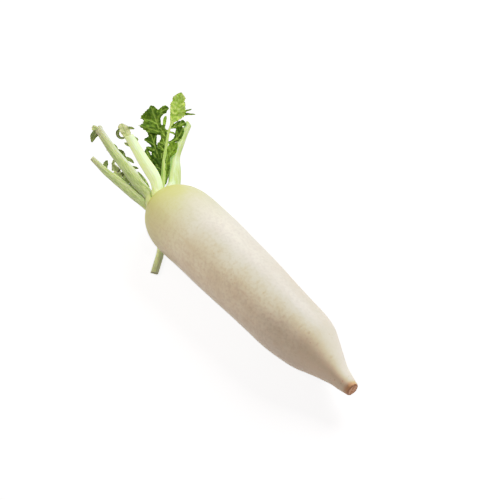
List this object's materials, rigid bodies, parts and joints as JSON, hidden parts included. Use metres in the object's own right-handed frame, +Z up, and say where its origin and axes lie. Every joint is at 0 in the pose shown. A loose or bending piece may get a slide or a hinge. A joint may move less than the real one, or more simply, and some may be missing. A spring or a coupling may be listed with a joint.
{
  "type": "white radish",
  "caption": "Long white radish root lying on its side, with trimmed leaf stalks and a toothed green leaf at its crown, for food and kitchen scenes.",
  "frame": {"origin": "middle of the small flat under the root, where it rests on the surface", "axes": "+Z up; +X along the root from the crown to the cut tip, the leaf stalks point to -X; +Y towards the side that the leaf leans to"},
  "size_m": [0.3997, 0.1313, 0.1059],
  "materials": {
    "root_skin": "smooth moist root skin, satin, creamy white with a green tint at the crown",
    "stalk_skin": "fine-ribbed leaf stalk, satin, pale yellow-green",
    "leaf_blade": "thin leaf blade, satin, dark green"
  },
  "bodies": {
    "root": {"root": "root_skin", "leafstalk_1": "stalk_skin", "leafstalk_2": "stalk_skin", "leafstalk_3": "stalk_skin", "leafstalk_4": "stalk_skin", "leafstalk_5": "stalk_skin", "leaf": "leaf_blade"}
  },
  "joints": []
}
